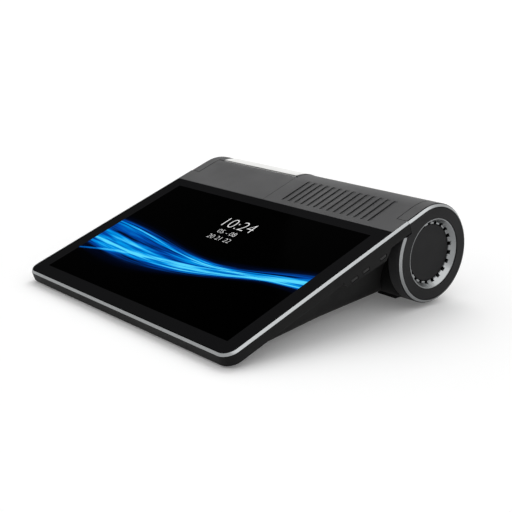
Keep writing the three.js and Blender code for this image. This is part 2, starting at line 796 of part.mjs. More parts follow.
function makeLid() {
  const lidFront = slotAngle - slotHalfAngle;
  const skinBand = band(drumRadius, drumRadius - skin, lidFront, hingeAngle + hingeHalfAngle);
  const cover = solid(across(skinBand, -drumHalf, lidRight));
  const knuckles = knuckleSpans(1).map((span) => knuckle(span, hingeAngle + 2 * hingeHalfAngle, hingeAngle));
  const root = drumRadius - skin / 2;
  const wrap = shaftRadius + seam + bracketWrap;
  const cheek = [
    ...arc(root, platenAngle - bracketSpread, platenAngle + bracketSpread - slotHalfAngle * 2),
    ...arc(wrap, PI, turn, platen, degrees(30)),
  ];
  const hole = circle(shaftRadius + seam, platen, 16);
  const bracket = (from) => solid(across(cheek, from, from + bracketWidth, [hole]));
  const parts = [...knuckles, bracket(-drumHalf), bracket(lidRight - bracketWidth)];
  add(drum, 'printer_lid', parts.reduce((all, part) => all.add(part), cover), coverGrey);
  add(drum, 'lid_hinge_pin', across(circle(pinRadius, hinge, 12), -drumHalf + seam, lidRight - seam), steel);
}

// Gears in the narrow space at the left end of the printer frame
const pinionTeeth = 12;
const idlerTeeth = 25;
const platenTeeth = 22;
const gearFace = 2.2;
const toothDepth = 0.8;
const toothShare = 0.45;
const tipClearance = 0.16;
const frameWall = 1.3;
const motor = new THREE.Vector2(-20, 15.8);
const motorRadius = 6.5;
const motorLength = 15;
const motorShaftRadius = 1;
const studRadius = 1.2;
const gearLine = platen.clone().sub(motor);
const gearModule = (2 * gearLine.length()) / (pinionTeeth + 2 * idlerTeeth + platenTeeth);
const idlerReach = (gearModule * (pinionTeeth + idlerTeeth)) / 2;
const idler = motor.clone().add(gearLine.clone().setLength(idlerReach));
const frameLeft = paperLeft - seam - frameWall;
const frameRight = paperRight + seam + frameWall;
const gearRight = frameLeft - seam;
const gearLeft = gearRight - gearFace;

function gearOutline(teeth, centre) {
  const tip = (gearModule * teeth) / 2 - tipClearance;
  const root = tip - toothDepth;
  const pitch = turn / teeth;
  const half = (pitch * toothShare) / 2;
  const halfTip = half / 2;
  return Array.from({ length: teeth }, (_, i) => {
    const at = pitch * i;
    return [
      onDrum(root, at - half),
      onDrum(tip, at - halfTip),
      onDrum(tip, at + halfTip),
      onDrum(root, at + half),
    ].map((p) => p.add(centre));
  }).flat();
}

function gear(teeth, centre, bore) {
  return across(gearOutline(teeth, centre), gearLeft, gearRight, [circle(bore, centre, 16)]);
}

function makeGears() {
  add(drum, 'platen_gear', gear(platenTeeth, platen, shaftRadius + seam), gearWhite);
  add(drum, 'idler_gear', gear(idlerTeeth, idler, studRadius + seam), gearWhite);
  const pinion = joined(
    across(gearOutline(pinionTeeth, motor), gearLeft, gearRight),
    across(circle(motorShaftRadius, motor, 16), gearRight - seam, frameLeft + frameWall),
  );
  add(drum, 'motor_pinion', pinion, brass);
}

// Paper roll, the web that leaves it, and the printed slip that lies back over the lid
const rollRadius = 21;
const coreRadius = 6.2;
const coreWall = 1.2;
const cradleWall = 1.4;
const cradleOuter = drumRadius - skin - seam;
const rollDrop = cradleOuter - cradleWall - seam - rollRadius;
const roll = new THREE.Vector2(0, -rollDrop);
const paperThickness = 0.2;
const slipEnd = degrees(62);

function makeRoll() {
  const around = circle(coreRadius + seam, roll, 24);
  const paper = across(circle(rollRadius, roll, drumSides), paperLeft, paperRight, [around]);
  add(drum, 'paper_roll', paper, whitePaper);
  const bore = circle(coreRadius - coreWall, roll, 24);
  add(drum, 'roll_core', across(circle(coreRadius, roll, 24), paperLeft, paperRight, [bore]), gearWhite);
}

// The straight line that touches the roll and the platen on their front sides
const webGap = seam + paperThickness / 2;
const webLine = platen.clone().sub(roll);
const webAngle = webLine.angle() + acos((rollRadius - platenRadius) / webLine.length());
const webStart = onDrum(rollRadius + webGap, webAngle).add(roll);
const webNip = onDrum(platenRadius + webGap, webAngle).add(platen);
const webUp = webNip.clone().sub(webStart).normalize();
const webOut = new THREE.Vector2(-webUp.y, webUp.x);

function strip(points) {
  const offsets = points.map((p, i) => {
    const before = points[Math.max(0, i - 1)];
    const after = points[Math.min(points.length - 1, i + 1)];
    const along = after.clone().sub(before).normalize();
    return new THREE.Vector2(-along.y, along.x).multiplyScalar(paperThickness / 2);
  });
  const leftSide = points.map((p, i) => p.clone().add(offsets[i]));
  const rightSide = points.map((p, i) => p.clone().sub(offsets[i]));
  return [...leftSide, ...rightSide.reverse()];
}

function makePaper() {
  const mouth = onDrum(drumRadius, slotAngle);
  add(drum, 'paper_web', across(strip([webStart, webNip, mouth]), paperLeft, paperRight), whitePaper);
  const inner = drumRadius + seam;
  const slip = band(inner + paperThickness, inner, slotAngle - slotHalfAngle, slipEnd);
  add(drum, 'receipt_slip', across(slip, paperLeft, paperRight), whitePaper);
}

// The printer frame: two cheeks, the cradle under the roll and the bar behind the head
const cradleFront = degrees(175);
const cradleRear = degrees(-25);
const cheekFrontShares = [[-0.85, 0.25], [-0.82, 0.62], [-0.44, 0.84], [-0.33, 0.84]];
const cheekRearShares = [[-0.33, 0.4], [0.0, 0.26], [0.66, -0.14]];
const barFront = -17.5;
const barRear = -15.5;
const barLow = 22;
const barHigh = 24.3;

function makePrinterFrame() {
  const rim = arc(cradleOuter, cradleRear, cradleFront - turn);
  const upper = [...cheekFrontShares, ...cheekRearShares];
  const cheek = [...rim, ...upper.map((share) => new THREE.Vector2(...share).multiplyScalar(cradleOuter))];
  const shaftHole = circle(motorShaftRadius + seam, motor, 16);
  const left = across(cheek, frameLeft, frameLeft + frameWall, [shaftHole]);
  const right = across(cheek, frameRight - frameWall, frameRight);
  const cradle = band(cradleOuter, cradleOuter - cradleWall, cradleRear, cradleFront - turn);
  const bar = box(barFront, barRear, barLow, barHigh);
  const frame = joined(
    left,
    right,
    across(cradle, frameLeft, frameRight),
    across(bar, frameLeft, frameRight),
    across(circle(studRadius, idler, 16), gearLeft, frameLeft + frameWall / 2),
  );
  add(drum, 'printer_frame', frame, baseBlack);
}

// Thermal head along the web, its leaf spring, the motor, and the tear bar at the slot
const headLength = 9;
const headThickness = 2.5;
const headShort = 0.5;
const springThickness = 0.6;
const springFront = -15.1;
const springRear = -10.4;
const springLow = 23.2;
const springRise = 0.8;
const springWidth = 8;
const springShares = [0.3, 0.72];
const tearFront = -7.2;
const tearRear = -5.8;
const tearLow = 28.2;
const tearHigh = 29;

function makePrintHead() {
  const from = paperLeft - seam / 2;
  const to = paperRight + seam / 2;
  const near = seam;
  const far = seam + headThickness;
  const low = webNip.clone().addScaledVector(webUp, -headLength);
  const high = webNip.clone().addScaledVector(webUp, -headShort);
  const outline = [
    low.clone().addScaledVector(webOut, near),
    high.clone().addScaledVector(webOut, near),
    high.clone().addScaledVector(webOut, far),
    low.clone().addScaledVector(webOut, far),
  ];
  add(drum, 'print_head', across(outline, from, to), boardGreen);
  springShares.forEach((share, i) => {
    const middle = paperLeft + paperWidth * share;
    const leaf = [
      new THREE.Vector2(springFront, springLow),
      new THREE.Vector2(springRear, springLow + springRise),
      new THREE.Vector2(springRear, springLow + springRise + springThickness),
      new THREE.Vector2(springFront, springLow + springThickness),
    ];
    const left = middle - springWidth / 2;
    add(drum, `head_spring_${i + 1}`, across(leaf, left, left + springWidth), steel);
  });
  const motorFrom = frameLeft + frameWall + seam;
  add(drum, 'print_motor', across(circle(motorRadius, motor, 24), motorFrom, motorFrom + motorLength), steel);
  add(drum, 'tear_bar', across(box(tearFront, tearRear, tearLow, tearHigh), from, to), steel);
}

function makePlaten() {
  const hole = circle(shaftRadius + seam, platen, 16);
  const roller = across(circle(platenRadius, platen, 32), paperLeft, paperRight, [hole]);
  add(drum, 'platen_roller', roller, rubberGrey);
  const shaft = across(circle(shaftRadius, platen, 16), -drumHalf + seam, lidRight - seam);
  add(drum, 'platen_shaft', shaft, steel);
}

// Power and data sockets in the rear of the grilled cover, on their own board
const socketDepth = 7;
const socketWall = 0.5;
const socketBoardMargin = 5.4;
const socketBoardRun = 30;

function makeSockets() {
  const half = inletHeight / 2;
  const rear = drumRadius;
  const names = ['power_inlet', 'data_socket'];
  names.forEach((name, i) => {
    const x = inletX + i * inletSpacing;
    const outer = across(box(rear - socketDepth, rear, -half, half), x - inletWidth / 2, x + inletWidth / 2);
    const mouth = box(rear - socketDepth + socketWall, rear + overrun, -half + socketWall, half - socketWall);
    const inner = across(mouth, x - inletWidth / 2 + socketWall, x + inletWidth / 2 - socketWall);
    add(drum, name, cutFrom(solid(outer), inner), steel);
  });
  const top = -half - seam;
  const board = box(rear - skin - socketBoardRun, rear - skin - seam * 2, top - boardThickness, top);
  const margin = inletWidth / 2 + socketBoardMargin;
  add(drum, 'socket_board', across(board, inletX - margin, inletX + inletSpacing + margin), boardGreen);
}

// Contactless antenna under the smooth cover
const antennaBack = 3.4;
const antennaStart = glassLength + antennaBack;
const antennaRun = 14;
const antennaInset = 5;
const antennaThickness = 0.8;
const antennaTrack = 3;

function makeAntenna() {
  const top = skin + seam;
  const depth = antennaStart + antennaRun;
  const left = paperLeft + antennaInset;
  const right = paperRight - antennaInset;
  const loop = solid(across(slopeBox(antennaStart, depth, top, top + antennaThickness), left, right));
  const inner = slopeBox(antennaStart + antennaTrack, depth - antennaTrack, top - overrun, top + overrun);
  const gap = across(inner, left + antennaTrack, right - antennaTrack);
  add(drum, 'contactless_antenna', cutFrom(loop, gap), brass);
}

makeGlass();
makeSlabTrim();
makeTray();
makeKeys();
makePanel();
makeBase();
makeFeet();
makeElectronics();
makeCardReader();
makeShell();
makeLeftCover();
makeVentCover();
[['left', -1], ['right', 1]].forEach(([side, sign]) => {
  makeEndCap(side, sign);
  makeEndTrim(side, sign);
  makeSpeakerEnd(side, sign);
});
makeLid();
makeGears();
makeRoll();
makePaper();
makePrinterFrame();
makePrintHead();
makePlaten();
makeSockets();
makeAntenna();

export default terminal;
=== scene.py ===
from math import atan2, cos, pi, radians, sin

import bmesh
import bpy
from mathutils import Matrix, Vector


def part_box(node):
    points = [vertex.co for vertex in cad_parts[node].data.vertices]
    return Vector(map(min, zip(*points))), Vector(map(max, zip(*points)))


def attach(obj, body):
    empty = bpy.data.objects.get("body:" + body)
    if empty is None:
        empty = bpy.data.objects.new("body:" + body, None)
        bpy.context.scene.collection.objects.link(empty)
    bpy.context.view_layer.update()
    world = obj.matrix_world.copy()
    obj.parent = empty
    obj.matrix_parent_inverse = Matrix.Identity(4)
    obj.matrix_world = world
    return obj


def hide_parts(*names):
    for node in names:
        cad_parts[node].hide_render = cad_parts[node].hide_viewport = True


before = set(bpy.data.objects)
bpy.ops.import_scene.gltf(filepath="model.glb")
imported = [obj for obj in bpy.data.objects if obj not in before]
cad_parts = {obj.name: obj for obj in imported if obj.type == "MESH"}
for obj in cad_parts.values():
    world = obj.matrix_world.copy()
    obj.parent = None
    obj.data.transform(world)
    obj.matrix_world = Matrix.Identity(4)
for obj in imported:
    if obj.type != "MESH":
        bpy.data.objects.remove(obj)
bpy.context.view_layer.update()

# Base shell
# The wedge under the display: one injection moulding in black ABS, with sides that lean in and a soft
# lower edge. Four screws from below hold it to posts under the display tray. Its black is darker than the
# tray's: painted shade for the shade under the slab's overhang.
MM = 0.001
SAME_POINT = 0.002 * MM
SAME_PLANE = radians(0.3)


def merged_copy(node, whole_faces=True):
    """The node's shape with its triangles joined, and with its flat faces made whole unless told not to."""
    shape = bmesh.new()
    shape.from_mesh(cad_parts[node].data)
    bmesh.ops.remove_doubles(shape, verts=shape.verts, dist=SAME_POINT)
    if whole_faces:
        bmesh.ops.dissolve_limit(shape, angle_limit=SAME_PLANE, verts=shape.verts, edges=shape.edges)
    return shape


def rounded(shape, edges, radius, segments):
    """Rounds the given edges of a shape."""
    bmesh.ops.bevel(
        shape, geom=edges, offset=radius, segments=segments, profile=0.5,
        affect="EDGES", material=-1, clamp_overlap=True,
    )


def soften(shape, radius, segments=3, sharper_than=35, chosen=None):
    """Rounds the edges that turn by more than an angle, as a mould does."""
    limit = radians(sharper_than)
    turned = [edge for edge in shape.edges if len(edge.link_faces) == 2 and edge.calc_face_angle() > limit]
    rounded(shape, [edge for edge in turned if chosen is None or chosen(edge)], radius, segments)


def finished(shape, name, material, body, slot, *nodes, sharp=40):
    """The shape as a piece of the object: shaded smooth, in its finish, on its body, for its nodes."""
    mesh = bpy.data.meshes.new(name)
    shape.to_mesh(mesh)
    shape.free()
    mesh.polygons.foreach_set("use_smooth", [True] * len(mesh.polygons))
    mesh.set_sharp_from_angle(angle=radians(sharp))
    mesh.materials.append(material)
    piece = bpy.data.objects.new(name, mesh)
    bpy.context.scene.collection.objects.link(piece)
    shading = piece.modifiers.new("flat_faces_shade_flat", "WEIGHTED_NORMAL")
    shading.keep_sharp = True
    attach(piece, body)
    if nodes:
        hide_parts(*nodes)
    return piece


def remade(node, name, material, body, slot, *, radius, segments=3, sharper_than=35, sharp=40):
    """A node's shape with its edges softened by a radius in millimetres, as the piece in its place."""
    shape = merged_copy(node)
    soften(shape, radius * MM, segments, sharper_than)
    finished(shape, name, material, body, slot, node, sharp=sharp)


def tone(red, green=None, blue=None):
    """A colour written as on screen, 0 to 255, for a colour socket. One number alone gives a grey."""
    screen = (red, red if green is None else green, red if blue is None else blue)
    shares = [channel / 255 for channel in screen]
    linear = [share / 12.92 if share <= 0.04045 else ((share + 0.055) / 1.055) ** 2.4 for share in shares]
    return (*linear, 1.0)


def added(tree, kind, **settings):
    """A new shader node in a tree, with its settings."""
    made = tree.nodes.new("ShaderNode" + kind)
    for setting, value in settings.items():
        setattr(made, setting, value)
    return made


def new_finish(name, sockets):
    """A material with its tree and its Principled shader, with plain values in some of its sockets."""
    material = bpy.data.materials.new(name)
    material.use_nodes = True
    shader = material.node_tree.nodes["Principled BSDF"]
    for socket, value in sockets.items():
        shader.inputs[socket].default_value = value
    return material, material.node_tree, shader


def value_group(name, inputs, outputs):
    """A group of nodes with number sockets, and its two end nodes."""
    group = bpy.data.node_groups.new(name, "ShaderNodeTree")
    for socket, value in inputs.items():
        made = group.interface.new_socket(socket, in_out="INPUT", socket_type="NodeSocketFloat")
        made.default_value = value
    for socket in outputs:
        group.interface.new_socket(socket, in_out="OUTPUT", socket_type="NodeSocketFloat")
    return group, group.nodes.new("NodeGroupInput"), group.nodes.new("NodeGroupOutput")


def ranged(tree, value, low, high, start=0.0, end=1.0):
    """A value that runs from start to end, carried over to the range from low to high."""
    span = added(tree, "MapRange")
    limits = {"From Min": start, "From Max": end, "To Min": low, "To Max": high}
    for socket, limit in limits.items():
        span.inputs[socket].default_value = limit
    tree.links.new(value, span.inputs["Value"])
    return span.outputs["Result"]


def blended(tree, share, first, second):
    """A mix of two colours by a share from nought to one. The second one may come from a socket."""
    blend = added(tree, "Mix", data_type="RGBA")
    blend.inputs["A"].default_value = first
    if isinstance(second, tuple):
        blend.inputs["B"].default_value = second
    else:
        tree.links.new(second, blend.inputs["B"])
    tree.links.new(share, blend.inputs["Factor"])
    return blend.outputs["Result"]


FINE_GRAIN = 4200.0
RUBBED_PATCHES = 26.0


def moulded_grain_group():
    """Spark-eroded mould texture: a fine grain, and broad soft patches where hands have rubbed it."""
    inputs = {"Grain Scale": FINE_GRAIN, "Patch Scale": RUBBED_PATCHES}
    group, given, out = value_group("moulded_grain", inputs, ["Grain", "Rub"])
    place = added(group, "TexCoord")
    noises = {}
    for name, detail in (("Grain", 2.0), ("Patch", 3.0)):
        noise = added(group, "TexNoise")
        noise.inputs["Detail"].default_value = detail
        group.links.new(place.outputs["Object"], noise.inputs["Vector"])
        group.links.new(given.outputs[f"{name} Scale"], noise.inputs["Scale"])
        noises[name] = noise.outputs["Fac"]
    group.links.new(noises["Grain"], out.inputs["Grain"])
    group.links.new(ranged(group, noises["Patch"], 0.0, 1.0, start=0.35, end=0.65), out.inputs["Rub"])
    return group


moulded_grain = moulded_grain_group()


def grained(tree, scale=FINE_GRAIN):
    """The outputs of the mould texture in a material's tree, at a scale."""
    grain = added(tree, "Group", node_tree=moulded_grain)
    grain.inputs["Grain Scale"].default_value = scale
    return grain.outputs


def embossed(tree, shader, height, strength, depth):
    """A relief on a shader, from a height socket and a depth in millimetres."""
    bump = added(tree, "Bump")
    bump.inputs["Strength"].default_value = strength
    bump.inputs["Distance"].default_value = depth * MM
    tree.links.new(height, bump.inputs["Height"])
    tree.links.new(bump.outputs["Normal"], shader.inputs["Normal"])


def moulded(name, color, rubbed, roughness, relief=0.012, scale=FINE_GRAIN, shine=0.2):
    """Textured plastic: two close tones, a roughness that varies with handling, and a fine relief."""
    material, tree, shader = new_finish(name, {"Specular IOR Level": shine})
    grain = grained(tree, scale)
    swing = 0.05
    tree.links.new(blended(tree, grain["Rub"], color, rubbed), shader.inputs["Base Color"])
    handled = ranged(tree, grain["Rub"], roughness + swing, roughness - swing)
    tree.links.new(handled, shader.inputs["Roughness"])
    embossed(tree, shader, grain["Grain"], 0.5, relief)
    return material


# A black a little darker than the tray's: painted shade under the slab's overhang.
base_black_painted_shade = moulded("base_black_painted_shade", tone(18), tone(20), roughness=0.6, shine=0.1)
remade("base_shell", "base_moulding", base_black_painted_shade, "case", "base_plastic", radius=0.5, sharp=30)

# Base screws
# Four steel pan-head screws, driven from below into the posts of the tray. A thin raised cross on each head
# stands for its recess.
HEAD_HEIGHT = 1.7 * MM
HEAD_EDGE = 0.45 * MM
SHANK_RADIUS = 1.3 * MM
SHANK_SIDES = 20
CROSS_LENGTH = 3.2 * MM
CROSS_WIDTH = 0.7 * MM
CROSS_THICKNESS = 0.05 * MM
CROSS_PROUD = 0.02 * MM
EVEN_POLISH = 600.0


def metal(name, color, roughness):
    """Bare or plated metal with faint uneven polish."""
    material, tree, shader = new_finish(name, {"Base Color": color, "Metallic": 1.0})
    polish = grained(tree, EVEN_POLISH)["Grain"]
    swing = 0.06
    tree.links.new(ranged(tree, polish, roughness - swing, roughness + swing), shader.inputs["Roughness"])
    return material


bright_steel = metal("bright_steel", tone(176, 178, 180), roughness=0.32)


def centre_of(node):
    """The middle of a node's box."""
    low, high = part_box(node)
    return (low + high) / 2


def grown_box(shape, low, high):
    """Adds a box between two corners to a shape."""
    size = Vector(high) - Vector(low)
    place = Matrix.Translation((Vector(high) + Vector(low)) / 2) @ Matrix.Diagonal((*size, 1))
    bmesh.ops.create_cube(shape, size=1, matrix=place)


def round_bar(shape, radius, low, high, axis, sides=32):
    """Adds an upright round bar between two heights, on an axis."""
    place = axis @ Matrix.Translation((0, 0, (low + high) / 2))
    bmesh.ops.create_cone(
        shape, cap_ends=True, segments=sides, radius1=radius, radius2=radius, depth=high - low, matrix=place
    )


for number in range(1, 5):
    node = f"base_screw_{number}"
    low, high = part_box(node)
    middle = centre_of(node)
    head_radius = (high.x - low.x) / 2
    screw = bmesh.new()
    axis = Matrix.Translation((middle.x, middle.y, 0))
    round_bar(screw, head_radius, low.z, low.z + HEAD_HEIGHT, axis)
    soften(screw, HEAD_EDGE, segments=4)
    round_bar(screw, SHANK_RADIUS, low.z + HEAD_HEIGHT, high.z, axis, SHANK_SIDES)
    for along in (Vector((1, 0, 0)), Vector((0, 1, 0))):
        reach = along * CROSS_LENGTH / 2 + Vector((along.y, along.x, 0)) * CROSS_WIDTH / 2
        centre = Vector((middle.x, middle.y, low.z - CROSS_PROUD))
        grown_box(screw, centre - reach, centre + reach + Vector((0, 0, CROSS_THICKNESS)))
    finished(screw, f"{node}_turned", bright_steel, "case", "steel", node)

# Feet
# Four soft rubber pads that carry the terminal, moulded with a coarse dull grain and pressed into the tray
# and the drum.
foot_rubber = moulded("foot_rubber", tone(30), tone(36), roughness=0.85, relief=0.03, scale=2600.0)
for foot in ("front_foot_left", "front_foot_right", "rear_foot_left", "rear_foot_right"):
    remade(foot, f"{foot}_pad", foot_rubber, "case", "foot_rubber", radius=0.6)

# Boards and battery
# The main board on its pegs with a tinned shield, the socket board in the drum, and a film-wrapped pack.
# Each chip on the main board has its place and size as shares of the board's.
solder_mask = moulded("solder_mask", tone(24, 74, 52), tone(30, 84, 60), roughness=0.4, scale=1800.0)
chip_black = moulded("chip_black", tone(22), tone(28), roughness=0.45)
battery_wrap = moulded("battery_wrap", tone(58, 62, 70), tone(66, 70, 78), roughness=0.35, scale=900.0)
CHIP_HEIGHT = 1.1 * MM
CHIP_PLACES = (
    (0.1, 0.2, 0.16, 0.2),
    (0.8, 0.25, 0.1, 0.16),
    (0.78, 0.72, 0.14, 0.2),
    (0.12, 0.75, 0.1, 0.12),
)
for node in ("main_board", "socket_board"):
    remade(node, f"{node}_laminate", solder_mask, "case", "board", radius=0.2, segments=2)
low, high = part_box("main_board")
size = high - low
for number, (across_share, along_share, wide_share, deep_share) in enumerate(CHIP_PLACES):
    chip = bmesh.new()
    corner = Vector((low.x + size.x * across_share, low.y + size.y * along_share, high.z))
    grown_box(chip, corner, corner + Vector((size.x * wide_share, size.y * deep_share, CHIP_HEIGHT)))
    soften(chip, 0.15 * MM, segments=2)
    finished(chip, f"board_chip_{number + 1}", chip_black, "case", "board")
remade("shield_can", "shield_pressing", bright_steel, "case", "steel", radius=0.4)
remade("battery_pack", "battery_wrapped", battery_wrap, "case", "battery_wrap", radius=2.2, segments=5)

# Display tray
# The slab's shallow case in black moulded plastic. Its arms run back over the ends of the drum, and the
# right wall thickens downwards round the keys.
SLOPE = radians(19.64)
GLASS_LENGTH = 136.6 * MM
ARM_END = 150.5 * MM
AT_JOINT = 0.05 * MM
glass_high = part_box("cover_glass")[1]
rear_top = Vector((0, glass_high.y, glass_high.z))
slab_front = rear_top - GLASS_LENGTH * Vector((0, cos(SLOPE), sin(SLOPE)))
on_slab = Matrix.Translation(slab_front) @ Matrix.Rotation(SLOPE, 4, "X")


def slab_run(point):
    """How far back from the slab's front edge a point lies, along the slope."""
    return (on_slab.inverted() @ point).y


case_black = moulded("case_black", tone(29), tone(31), roughness=0.52, shine=0.08)
tray = merged_copy("display_tray")
arm_ends = {
    edge for edge in tray.edges
    if all(abs(slab_run(point.co) - ARM_END) < AT_JOINT for point in edge.verts)
}
soften(tray, 0.35 * MM, segments=2, chosen=lambda edge: edge not in arm_ends)
finished(tray, "display_tray_moulding", case_black, "case", "case_plastic", "display_tray", sharp=30)

# Side keys
# Three small keys in the right wall, in the tray's black plastic with a smoother finish and soft corners,
# that travel half a millimetre.
key_black = moulded("key_black", tone(20), tone(23), roughness=0.42, shine=0.3)
for key in ("power", "volume_up", "volume_down"):
    remade(f"{key}_key", f"{key}_key_cap", key_black, f"{key}_button", "key_plastic", radius=0.3)

# Display panel
# The liquid crystal module behind the glass: its layers lie in a thin dark frame, which fills the hollow of
# the tray.
panel_frame = moulded("panel_frame", tone(40), tone(46), roughness=0.4)
remade("display_panel", "display_module", panel_frame, "case", "panel", radius=0.3, segments=2)

# Cover glass
# One sheet of black-printed hardened glass with two round corners and a ground edge. The lit picture shows
# through its clear middle: soft ribbons of blue light on black.
GLASS_WIDTH = 214.2 * MM
GLASS_THICKNESS = 1.5 * MM
GLASS_CORNER = 7 * MM
CORNER_SEGMENTS = 12
PICTURE_LEFT = -96.1 * MM
PICTURE_RIGHT = 96.5 * MM
PICTURE_FRONT = 9.07 * MM
PICTURE_REAR = 128.4 * MM
RIBBONS = (
    {"Middle": 60 * MM, "Tilt": 0.06, "Swing": -7 * MM, "Waves": 24.0, "Phase": 1.9, "Width": 10.0 * MM},
    {"Middle": 55 * MM, "Tilt": 0.12, "Swing": -8 * MM, "Waves": 24.0, "Phase": 1.6, "Width": 5.2 * MM},
    {"Middle": 65 * MM, "Tilt": -0.02, "Swing": -5 * MM, "Waves": 27.0, "Phase": 1.2, "Width": 3.6 * MM},
    {"Middle": 52 * MM, "Tilt": 0.20, "Swing": -4 * MM, "Waves": 30.0, "Phase": 0.4, "Width": 1.5 * MM},
)
GLOW_COLOURS = ((0.12, tone(1, 18, 52)), (0.35, tone(0, 74, 172)), (0.7, tone(0, 158, 240)))
BRIGHTEST = tone(90, 220, 255)
UNLIT = (0, 0, 0, 1)


def reckon(tree, operation, *values):
    """The result of one sum in a tree. Each value is a plain number or a socket."""
    step = added(tree, "Math", operation=operation)
    for socket, value in zip(step.inputs, values):
        if isinstance(value, (int, float)):
            socket.default_value = value
        else:
            tree.links.new(value, socket)
    return step.outputs["Value"]


def ribbon_group():
    """One ribbon of light: bright where a point lies near a slow wave, split lengthwise into threads."""
    inputs = {
        "Across": 0.0, "Along": 0.0, "Middle": 0.0, "Tilt": 0.0, "Swing": 0.01, "Waves": 30.0, "Phase": 0.0,
        "Width": 0.004,
    }
    group, given, out = value_group("light_ribbon", inputs, ["Glow"])
    read = given.outputs
    mean_width, width_swing = 0.75, 0.35
    fall_off = 2.718
    lanes_across, lanes_through = 9.0, 1.6

    angle = reckon(group, "MULTIPLY_ADD", read["Across"], read["Waves"], read["Phase"])
    wave = reckon(group, "MULTIPLY", reckon(group, "SINE", angle), read["Swing"])
    lean = reckon(group, "MULTIPLY_ADD", read["Across"], read["Tilt"], read["Middle"])
    distance = reckon(group, "SUBTRACT", read["Along"], reckon(group, "ADD", wave, lean))
    swell = reckon(group, "MULTIPLY_ADD", reckon(group, "COSINE", angle), width_swing, mean_width)
    near = reckon(group, "DIVIDE", distance, reckon(group, "MULTIPLY", read["Width"], swell))
    faded = reckon(group, "MULTIPLY", reckon(group, "MULTIPLY", near, near), -1.0)
    body = reckon(group, "POWER", fall_off, faded)

    lane = added(group, "CombineXYZ")
    group.links.new(reckon(group, "MULTIPLY", read["Across"], lanes_across), lane.inputs["X"])
    group.links.new(reckon(group, "MULTIPLY", near, lanes_through), lane.inputs["Y"])
    threads = added(group, "TexNoise")
    threads.inputs["Scale"].default_value = 1.7
    threads.inputs["Detail"].default_value = 4.0
    group.links.new(lane.outputs["Vector"], threads.inputs["Vector"])
    contrast = ranged(group, threads.outputs["Fac"], 0.12, 1.0, start=0.38, end=0.68)
    group.links.new(reckon(group, "MULTIPLY", body, contrast), out.inputs["Glow"])
    return group


def glass_with_picture():
    """Black glass whose middle lights up in ribbons, placed by the slab's own run and width."""
    material, tree, shader = new_finish(
        "printed_glass", {"Emission Strength": 1.0, "Specular IOR Level": 0.0004}
    )
    place = added(tree, "TexCoord")
    turn = added(tree, "Mapping", vector_type="TEXTURE")
    turn.inputs["Location"].default_value = slab_front
    turn.inputs["Rotation"].default_value = (SLOPE, 0, 0)
    tree.links.new(place.outputs["Object"], turn.inputs["Vector"])
    split = added(tree, "SeparateXYZ")
    tree.links.new(turn.outputs["Vector"], split.inputs["Vector"])
    across, along = split.outputs["X"], split.outputs["Y"]

    def inside(value, low, high):
        """One where a value lies between two limits, and nought elsewhere."""
        distance = reckon(tree, "ABSOLUTE", reckon(tree, "SUBTRACT", value, (low + high) / 2))
        return reckon(tree, "LESS_THAN", distance, (high - low) / 2)

    in_width = inside(across, PICTURE_LEFT, PICTURE_RIGHT)
    in_length = inside(along, PICTURE_FRONT, PICTURE_REAR)
    lit = reckon(tree, "MULTIPLY", in_width, in_length)
    tree.links.new(blended(tree, lit, tone(22, 22, 23), tone(0)), shader.inputs["Base Color"])

    ribbon = ribbon_group()
    glow = 0.0
    for settings in RIBBONS:
        band = added(tree, "Group", node_tree=ribbon)
        for socket, value in settings.items():
            band.inputs[socket].default_value = value
        tree.links.new(across, band.inputs["Across"])
        tree.links.new(along, band.inputs["Along"])
        glow = reckon(tree, "ADD", glow, band.outputs["Glow"])
    colours = added(tree, "ValToRGB")
    ramp = colours.color_ramp
    ramp.elements[0].color = UNLIT
    ramp.elements[1].color = BRIGHTEST
    for position, color in GLOW_COLOURS:
        ramp.elements.new(position).color = color
    tree.links.new(glow, colours.inputs["Fac"])
    shown = blended(tree, lit, UNLIT, colours.outputs["Color"])
    tree.links.new(shown, shader.inputs["Emission Color"])
    haze = ranged(tree, grained(tree)["Rub"], 0.05, 0.1)
    tree.links.new(haze, shader.inputs["Roughness"])
    return material


printed_glass = glass_with_picture()
glass = bmesh.new()
grown_box(glass, (-GLASS_WIDTH / 2, 0, -GLASS_THICKNESS), (GLASS_WIDTH / 2, GLASS_LENGTH, 0))
front_corners = [
    edge for edge in glass.edges
    if all(point.co.y < MM for point in edge.verts) and edge.verts[0].co.xy == edge.verts[1].co.xy
]
rounded(glass, front_corners, GLASS_CORNER, CORNER_SEGMENTS)
soften(glass, 0.25 * MM, segments=2)
glass.transform(on_slab)
finished(glass, "cover_glass_sheet", printed_glass, "case", "black_glass", "cover_glass")

# Clock on the display
# The picture's plain white figures: the time and, below it, two short rows of numbers. They are thin sheets
# that lie on the glass and give their own light.
figure_white, _, _ = new_finish("figure_white", {
    "Base Color": tone(0), "Specular IOR Level": 0.0, "Emission Color": tone(236), "Emission Strength": 1.0,
})
STROKE_THINNED = 0.022
FIGURE_THICKNESS = 0.01 * MM
ABOVE_GLASS = 0.02 * MM
FIGURES = (
    ("time", "10:24", 15 * MM, 98.6 * MM),
    ("date", "05 - 08", 6.4 * MM, 91 * MM),
    ("year", "20 21 22", 6.4 * MM, 83.6 * MM),
)
for name, words, height, run in FIGURES:
    writing = bpy.data.curves.new(f"clock_{name}", "FONT")
    writing.body = words
    writing.size = height
    writing.align_x = "CENTER"
    writing.extrude = FIGURE_THICKNESS
    writing.offset = -STROKE_THINNED * height
    drawn = bpy.data.objects.new(f"clock_{name}", writing)
    bpy.context.scene.collection.objects.link(drawn)
    bpy.context.view_layer.update()
    flat = bpy.data.meshes.new_from_object(drawn.evaluated_get(bpy.context.evaluated_depsgraph_get()))
    bpy.data.objects.remove(drawn)
    figures = bmesh.new()
    figures.from_mesh(flat)
    bpy.data.meshes.remove(flat)
    figures.transform(on_slab @ Matrix.Translation((0, run, ABOVE_GLASS)))
    finished(figures, f"clock_{name}_figures", figure_white, "case", "black_glass")

